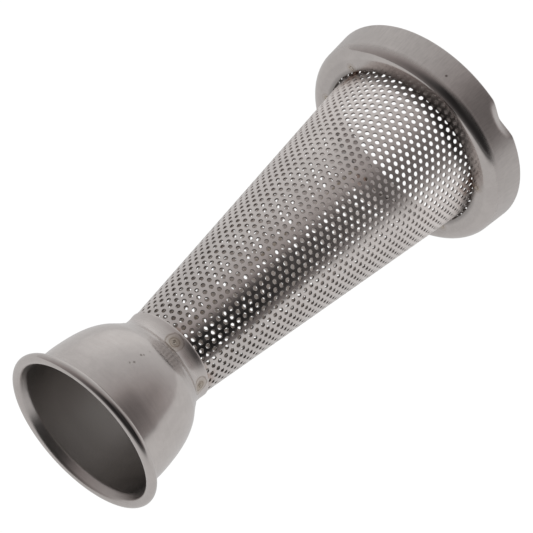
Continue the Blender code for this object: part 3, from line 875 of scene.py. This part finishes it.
# ---- weld metal ------------------------------------------------------------
def weld_steel(name, centres=()):
    """Thinly oxidised weld metal with dark pits, near the given centres or else all over."""
    mat, nodes = new_material(name)
    pos = nodes.object_position()
    oxide = nodes.noise(pos, scale=1300.0, detail=4.0, rough=0.65, distortion=0.8)
    patch = nodes.noise(pos, scale=420.0, rough=0.6)
    base = nodes.mix(nodes.ramp(oxide, 0.36, 0.62), (0.42, 0.36, 0.29), (0.60, 0.55, 0.49))
    base = nodes.mix(nodes.ramp(patch, 0.52, 0.72, 0.0, 0.6), base, (0.43, 0.35, 0.28))
    pits = nodes.ramp(nodes.noise(pos, scale=2300.0, detail=2.0, rough=0.6), 0.565, 0.635)
    if centres:
        pits = pits * nodes.ramp(nodes.nearest(pos, centres), 0.62 * MM, 0.30 * MM)
    else:
        pits = pits * 0.35
    base = nodes.mix(pits * 0.85, base, (0.07, 0.05, 0.035))
    rough = nodes.ramp(oxide, 0.3, 0.7, 0.42, 0.24)
    finish_metal(nodes, base, rough, oxide - pits * 0.8, bump=0.35, distance=0.00010)
    return mat


# ---- materials -------------------------------------------------------------
# small dark scuffs: station, radius from the axis, azimuth, size, darkness
CAP_SCUFFS = ((-6.9, 37.05, 18.0, 0.60, 0.8),)
DOME_SCUFFS = (
    (-138.9, 22.30, 15.0, 0.567, 0.60),
    (-138.2, 22.10, 16.3, 0.405, 0.50),
    (-142.4, 23.08, 16.0, 0.540, 0.50),
    (-143.6, 23.29, 14.2, 0.459, 0.45),
    (-135.8, 21.25, 17.0, 0.351, 0.35),
)


def scuff_marks(scuffs):
    return [(to_metres(place(*spot)), size, depth) for *spot, size, depth in scuffs]


neck_centres = [to_metres(place(NECK_WELD_X, NECK_WELD_TOP_R, az)) for az in NECK_WELD_AZ]
cap_centres = [to_metres(place(FACE_X, CAP_WELD_R_POS, az)) for az in CAP_WELD_AZ]

cap_steel = steel(
    "cap_drawn_steel",
    colour=(0.610, 0.568, 0.548), rough=0.09, axial_share=0.85, bump=0.056,
    # gains: the flat face a little darker than the shoulder, and painted shade by the bore,
    # where the cone rises from the face
    gains=[("r", 33.6, 32.4, 0.93), ("r", 30.4, 28.9, 0.64)],
    zones=[("r", 36.2, CAP_SKIRT_FOOT_R, 0.24, 5.0), ("r", 33.6, 32.6, 0.10, 0.0)],
    welds=cap_centres, ring_radii=(1.05, 1.75), tint=0.45,
    marks=scuff_marks(CAP_SCUFFS),
)
screen_steel = steel(
    "screen_rolled_steel",
    colour=(0.690, 0.645, 0.622), rough=0.085, axial_share=0.5, bump=0.04,
    # gains: lighter towards the cap end, painted light standing in for glints round the holes;
    # darker over the last rows by the cap face, painted shade and dark reflection
    gains=[("x", -60.0, 80.0, 1.26), ("x", 38.0, 54.0, 1.09), ("x", 62.8, 65.0, 0.56)],
    zones=[("x", -35.0, 62.0, 0.27, 0.0)],
    welds=cap_centres + neck_centres, ring_radii=(1.3, 2.2), tint=0.5, bleed=8.5,
    # painted shade on the inside of the cone and in the hole bores, heaviest at the neck end
    inside=dict(
        tone=(0.38, 0.352, 0.325), bell_end=0.95, cap_end=0.10, more_rough=0.03,
        first_x=-90.0, facing=(0.75, 0.45),
    ),
)
bell_steel = steel(
    "bell_spun_steel",
    colour=(0.665, 0.620, 0.598), rough=0.14, axial_share=0.1, bump=0.056,
    # gains: painted shade over the rolled lip and round the neck fillet, painted light on the
    # collar
    gains=[("x", -76.0, -77.2, 0.93), ("x", -52.5, -50.0, 0.93), ("x", -47.6, -45.6, 1.12)],
    zones=[("x", -76.9, -76.0, 0.04, 0.4), ("x", -46.8, -44.6, 0.13, 0.0)],
    welds=neck_centres, ring_radii=(1.45, 2.75), tint=1.25,
    marks=scuff_marks(DOME_SCUFFS), scratch=0.4,
    # painted shade over the inside of the bell
    inside=dict(
        tone=(0.545, 0.526, 0.513), bell_end=0.95, cap_end=0.95, more_rough=0.16,
        first_x=-76.6, facing=(-0.30, -0.62),
    ),
)
weld_metal = weld_steel("seam_oxide_steel")
nugget_metal = weld_steel("nugget_oxide_steel", neck_centres + cap_centres)


# ---- pieces ----------------------------------------------------------------
def add_piece(obj, node):
    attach(obj, "root")
    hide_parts(node)


add_piece(build_cap(cap_steel), "flange_cap")
add_piece(build_screen(screen_steel), "screen_cone")
add_piece(build_bell(bell_steel), "bell_mouth")
add_piece(build_seam(weld_metal), "screen_seam_weld")

X_AXIS = np.array([1.0, 0.0, 0.0])
neck_start_r = (NECK_WELD_X - CONE_APEX_X) * TAN - CONE_T / COS
for k, az in enumerate(NECK_WELD_AZ):
    nugget = build_nugget(
        f"neck_nugget_{k + 1}", base=place(NECK_WELD_X, neck_start_r, az), axis=radial(az),
        side=X_AXIS, radius=NECK_WELD_R, length=NECK_WELD_TOP_R - neck_start_r,
        mat=nugget_metal, phase=1.3 * k,
    )
    add_piece(nugget, f"neck_spot_weld_{k + 1}")
lip_back_x = LIP_FRONT_X + CONE_T
for k, az in enumerate(CAP_WELD_AZ):
    nugget = build_nugget(
        f"cap_nugget_{k + 1}", base=place(lip_back_x, CAP_WELD_R_POS, az), axis=-X_AXIS,
        side=radial(az), radius=CAP_WELD_R, length=lip_back_x - FACE_X,
        mat=nugget_metal, phase=0.7 + 1.7 * k,
    )
    add_piece(nugget, f"cap_spot_weld_{k + 1}")


# ---- stage: floor, light, camera -------------------------------------------
CAMERA_SIDE = (-0.4914, -0.4184, 0.7638)  # from the element towards the camera
CAMERA_RIGHT = (0.6483, -0.7614, 0.0)
WHITE_SEEN = 1.03  # brightness of the surroundings as the camera sees them

FLOOR_HALF = 2.2  # metres
FLOOR_CELLS = 24
FLOOR_GAP = 0.08  # mm below the cap rim
FLOOR_NEAR, FLOOR_FAR = 0.70, 0.11  # glow under the element and at the camera-side edge
FLOOR_SEEN_WHITE = 0.97


def floor_material():
    """A lit white sheet whose glow in reflections falls off towards the camera's side."""
    mat, nodes = new_material("floor_matt_white")
    nodes.tree.nodes.clear()
    pos = nodes.value("ShaderNodeNewGeometry", {}, "Position")
    front = nodes.dot(pos, (CAMERA_RIGHT[1], -CAMERA_RIGHT[0], 0.0))
    lit = nodes.ramp(front, 0.09, 0.40, FLOOR_NEAR, FLOOR_FAR)
    diffuse = nodes.value("ShaderNodeBsdfDiffuse", {0: (0.9, 0.9, 0.9, 1.0)})
    glow = nodes.value("ShaderNodeEmission", {1: lit})
    shade = nodes.mix_shader(0.85, diffuse, glow)
    seen = nodes.value("ShaderNodeEmission", {1: WHITE_SEEN})
    faint = nodes.mix_shader(FLOOR_SEEN_WHITE, shade, seen)
    surface = nodes.mix_shader(nodes.camera_ray(), shade, faint)
    nodes.node("ShaderNodeOutputMaterial", {"Surface": surface})
    return mat


def build_floor():
    """A pale plane under the element, sloped to pass under the cap rim and the bell lip."""
    drop_cap, drop_bell = -CAP_SKIRT_RIM_R, -(CURL_R + CURL_TUBE_R)
    slope = (drop_bell - drop_cap) / CURL_X
    steps = [FLOOR_HALF * (2 * i / FLOOR_CELLS - 1) for i in range(FLOOR_CELLS + 1)]
    verts = [
        (x, y, (drop_cap - FLOOR_GAP) * MM + slope * (x + ORIGIN_X * MM))
        for x in steps
        for y in steps
    ]
    row = FLOOR_CELLS + 1
    faces = []
    for i in range(FLOOR_CELLS):
        for j in range(FLOOR_CELLS):
            corner = i * row + j
            faces.append((corner, corner + row, corner + row + 1, corner + 1))
    mesh = bpy.data.meshes.new("floor")
    mesh.from_pydata(verts, [], faces)
    mesh.shade_smooth()
    mesh.materials.append(floor_material())
    link_object("floor", mesh)


# studio surround: a pale tent, darker towards the camera, as base + slopes + soft lobes,
# in units of full white
TABLE_UP = (0.0628, 0.0, 0.998)
TENT_BASE, TENT_RISE, TENT_FRONT = 0.477, 0.177, -0.166
# direction, tightness, amount
TENT_LOBES = (
    ((0.640, -0.643, 0.421), 45.7, -0.071),
    ((-0.095, -0.973, 0.209), 2.8, -0.298),
    ((0.771, 0.570, 0.284), 8.9, 0.148),
    ((-0.385, -0.306, 0.871), 18.8, -0.107),
    ((-0.825, -0.069, 0.561), 2.2, -0.337),
    ((0.243, -0.590, 0.770), 12.6, -0.222),
    ((0.238, -0.915, 0.327), 36.3, -0.105),
    ((0.200, -0.710, 0.675), 130.0, -0.055),
    ((0.205, -0.872, 0.444), 130.0, -0.055),
    ((0.215, -0.957, 0.195), 110.0, -0.075),
    ((0.290, -0.270, 0.918), 60.0, 0.060),
    ((0.872, 0.452, -0.020), 6.0, 0.080),
)


def build_world():
    world = bpy.data.worlds.new("studio")
    bpy.context.scene.world = world
    world.use_nodes = True
    nodes = Nodes(world.node_tree)
    nodes.tree.nodes.clear()
    generated = nodes.value("ShaderNodeTexCoord", {}, "Generated")
    direction = nodes.vector("NORMALIZE", generated)

    def along(axis):
        return nodes.dot(direction, tuple(Vector(axis).normalized()))

    level = TENT_BASE + along(TABLE_UP) * TENT_RISE
    level = level + along(CAMERA_SIDE) * TENT_FRONT
    for axis, tight, amount in TENT_LOBES:
        level = level + nodes.math("EXPONENT", (along(axis) - 1.0) * tight) * amount
    # never below black
    level = (level + nodes.math("SQRT", level * level + 0.0016)) * 0.5
    # the darkest parts are slightly warm
    tint = nodes.mix(nodes.ramp(level, 0.02, 0.15), (1.03, 1.0, 1.0), (1.085, 0.995, 0.985))
    tint = nodes.mix(nodes.ramp(level, 0.22, 0.62), tint, (1.0, 1.0, 1.0))
    colour = nodes.vector("SCALE", tint, level)
    colour = nodes.mix(nodes.camera_ray(), colour, (WHITE_SEEN, WHITE_SEEN, WHITE_SEEN))
    background = nodes.value("ShaderNodeBackground", {0: colour, 1: 1.0})
    nodes.node("ShaderNodeOutputWorld", {"Surface": background})


CAMERA_AIM_X = -77.6  # station, mm
CAMERA_DISTANCE = 0.7337
CAMERA_RAISE = 0.00032


def build_camera():
    data = bpy.data.cameras.new("camera")
    data.sensor_fit = "HORIZONTAL"
    data.sensor_width = 36.0
    data.lens = 164.04
    data.clip_start, data.clip_end = 0.01, 20.0
    camera = link_object("camera", data)
    back = Vector(CAMERA_SIDE).normalized()
    right = Vector(CAMERA_RIGHT).normalized()
    up = back.cross(right)
    pose = Matrix((right, up, back)).transposed().to_4x4()
    aim = Vector(((CAMERA_AIM_X - ORIGIN_X) * MM, 0.0, 0.0))
    pose.translation = aim + CAMERA_DISTANCE * back + CAMERA_RAISE * up
    camera.matrix_world = pose
    bpy.context.scene.camera = camera


build_floor()
build_world()
build_camera()

bpy.context.scene.view_settings.view_transform = "Standard"
bpy.context.scene.view_settings.look = "None"
